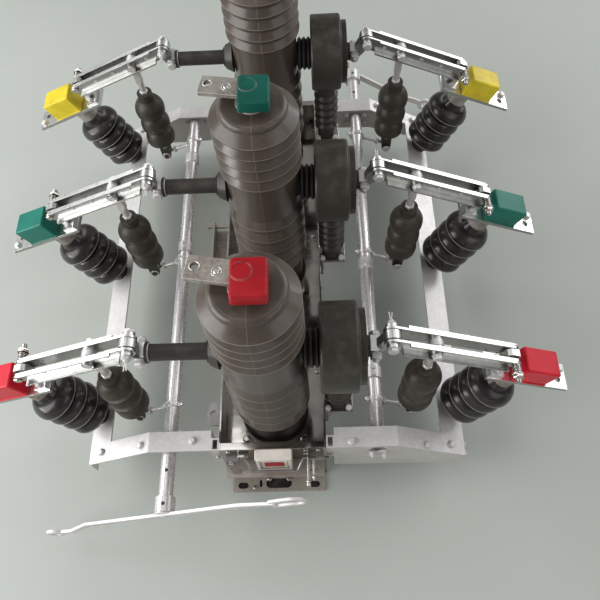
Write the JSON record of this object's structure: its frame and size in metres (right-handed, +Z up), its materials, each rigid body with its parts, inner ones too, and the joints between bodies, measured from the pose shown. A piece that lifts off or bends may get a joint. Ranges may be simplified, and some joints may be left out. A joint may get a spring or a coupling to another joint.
{
  "type": "vacuum load break switch",
  "caption": "Outdoor load break switch with moulded poles on a steel housing, blade disconnectors on sloped frames at both sides and operating shafts with levers.",
  "frame": {"origin": "centre of the housing's underside", "axes": "+Z up, +X to the side with the current transformers, -Y to the indicator end"},
  "size_m": [1.0816, 1.126, 0.6625],
  "materials": {
    "pole_moulding": "satin moulded epoxy",
    "stainless_sheet": "bright stainless sheet",
    "galvanised_steel": "pale galvanised",
    "tinned_copper": "bright tinned",
    "dull_tin": "matt tinned, weathered",
    "black_moulding": "satin moulded epoxy",
    "grey_moulding": "satin moulded",
    "red_plastic": "soft plastic",
    "green_plastic": "soft plastic",
    "yellow_plastic": "soft plastic",
    "indicator_plastic": "clear cover over a plain plate"
  },
  "bodies": {
    "root": {"mechanism_box": "stainless_sheet", "side_plates": "stainless_sheet", "end_plates": "stainless_sheet", "mounting_brackets": "stainless_sheet", "indicator_housing": "indicator_plastic", "pull_bail": "galvanised_steel", "lifting_lugs": "stainless_sheet", "corner_angles": "galvanised_steel", "top_terminals": "dull_tin", "current_transformers": "pole_moulding", "transformer_seats": "stainless_sheet", "hinge_blocks": "tinned_copper", "fixed_contacts": "tinned_copper", "line_pads": "tinned_copper", "post_insulators": "black_moulding", "frame_bars": "galvanised_steel", "frame_arms": "galvanised_steel", "shaft_bearings": "galvanised_steel", "pole_front": "pole_moulding", "top_cap_red": "red_plastic", "line_caps_red": "red_plastic", "pole_middle": "pole_moulding", "top_cap_green": "green_plastic", "line_caps_green": "green_plastic", "pole_rear": "pole_moulding", "top_cap_yellow": "yellow_plastic", "line_caps_yellow": "yellow_plastic", "left_arms": "pole_moulding", "right_arms": "pole_moulding"},
    "left_drive": {"left_shaft": "galvanised_steel", "left_lever": "galvanised_steel"},
    "left_blade_front": {"left_blade_front": "tinned_copper"},
    "left_tie_front": {"left_tie_front": "grey_moulding"},
    "left_blade_middle": {"left_blade_middle": "tinned_copper"},
    "left_tie_middle": {"left_tie_middle": "grey_moulding"},
    "left_blade_rear": {"left_blade_rear": "tinned_copper"},
    "left_tie_rear": {"left_tie_rear": "grey_moulding"},
    "right_drive": {"right_shaft": "galvanised_steel", "right_lever": "galvanised_steel"},
    "right_blade_front": {"right_blade_front": "tinned_copper"},
    "right_tie_front": {"right_tie_front": "grey_moulding"},
    "right_blade_middle": {"right_blade_middle": "tinned_copper"},
    "right_tie_middle": {"right_tie_middle": "grey_moulding"},
    "right_blade_rear": {"right_blade_rear": "tinned_copper"},
    "right_tie_rear": {"right_tie_rear": "grey_moulding"}
  },
  "joints": [
    {"name": "left_shaft_turn", "type": "hinge", "parent": "root", "child": "left_drive", "pos_m": [-0.2, 0, 0.163], "axis": [0, 1, 0], "range_deg": [0, 75]},
    {"name": "left_blade_front_swing", "type": "hinge", "parent": "root", "child": "left_blade_front", "pos_m": [-0.212, -0.34, 0.453], "axis": [0, 1, 0], "range_deg": [0, 75]},
    {"name": "left_tie_front_swing", "type": "hinge", "parent": "left_blade_front", "child": "left_tie_front", "pos_m": [-0.28508, -0.34, 0.42046], "axis": [0, 1, 0], "range_deg": [-75, 0]},
    {"name": "left_blade_middle_swing", "type": "hinge", "parent": "root", "child": "left_blade_middle", "pos_m": [-0.212, 0, 0.453], "axis": [0, 1, 0], "range_deg": [0, 75]},
    {"name": "left_tie_middle_swing", "type": "hinge", "parent": "left_blade_middle", "child": "left_tie_middle", "pos_m": [-0.28508, 0, 0.42046], "axis": [0, 1, 0], "range_deg": [-75, 0]},
    {"name": "left_blade_rear_swing", "type": "hinge", "parent": "root", "child": "left_blade_rear", "pos_m": [-0.212, 0.34, 0.453], "axis": [0, 1, 0], "range_deg": [0, 75]},
    {"name": "left_tie_rear_swing", "type": "hinge", "parent": "left_blade_rear", "child": "left_tie_rear", "pos_m": [-0.28508, 0.34, 0.42046], "axis": [0, 1, 0], "range_deg": [-75, 0]},
    {"name": "right_shaft_turn", "type": "hinge", "parent": "root", "child": "right_drive", "pos_m": [0.2, 0, 0.163], "axis": [0, -1, 0], "range_deg": [0, 75]},
    {"name": "right_blade_front_swing", "type": "hinge", "parent": "root", "child": "right_blade_front", "pos_m": [0.212, -0.34, 0.453], "axis": [0, -1, 0], "range_deg": [0, 75]},
    {"name": "right_tie_front_swing", "type": "hinge", "parent": "right_blade_front", "child": "right_tie_front", "pos_m": [0.28508, -0.34, 0.42046], "axis": [0, -1, 0], "range_deg": [-75, 0]},
    {"name": "right_blade_middle_swing", "type": "hinge", "parent": "root", "child": "right_blade_middle", "pos_m": [0.212, 0, 0.453], "axis": [0, -1, 0], "range_deg": [0, 75]},
    {"name": "right_tie_middle_swing", "type": "hinge", "parent": "right_blade_middle", "child": "right_tie_middle", "pos_m": [0.28508, 0, 0.42046], "axis": [0, -1, 0], "range_deg": [-75, 0]},
    {"name": "right_blade_rear_swing", "type": "hinge", "parent": "root", "child": "right_blade_rear", "pos_m": [0.212, 0.34, 0.453], "axis": [0, -1, 0], "range_deg": [0, 75]},
    {"name": "right_tie_rear_swing", "type": "hinge", "parent": "right_blade_rear", "child": "right_tie_rear", "pos_m": [0.28508, 0.34, 0.42046], "axis": [0, -1, 0], "range_deg": [-75, 0]}
  ],
  "couplings": [
    {"joint": "left_blade_front_swing", "follows": "left_shaft_turn", "ratio": 1},
    {"joint": "left_tie_front_swing", "follows": "left_shaft_turn", "ratio": -1},
    {"joint": "left_blade_middle_swing", "follows": "left_shaft_turn", "ratio": 1},
    {"joint": "left_tie_middle_swing", "follows": "left_shaft_turn", "ratio": -1},
    {"joint": "left_blade_rear_swing", "follows": "left_shaft_turn", "ratio": 1},
    {"joint": "left_tie_rear_swing", "follows": "left_shaft_turn", "ratio": -1},
    {"joint": "right_blade_front_swing", "follows": "right_shaft_turn", "ratio": 1},
    {"joint": "right_tie_front_swing", "follows": "right_shaft_turn", "ratio": -1},
    {"joint": "right_blade_middle_swing", "follows": "right_shaft_turn", "ratio": 1},
    {"joint": "right_tie_middle_swing", "follows": "right_shaft_turn", "ratio": -1},
    {"joint": "right_blade_rear_swing", "follows": "right_shaft_turn", "ratio": 1},
    {"joint": "right_tie_rear_swing", "follows": "right_shaft_turn", "ratio": -1}
  ]
}
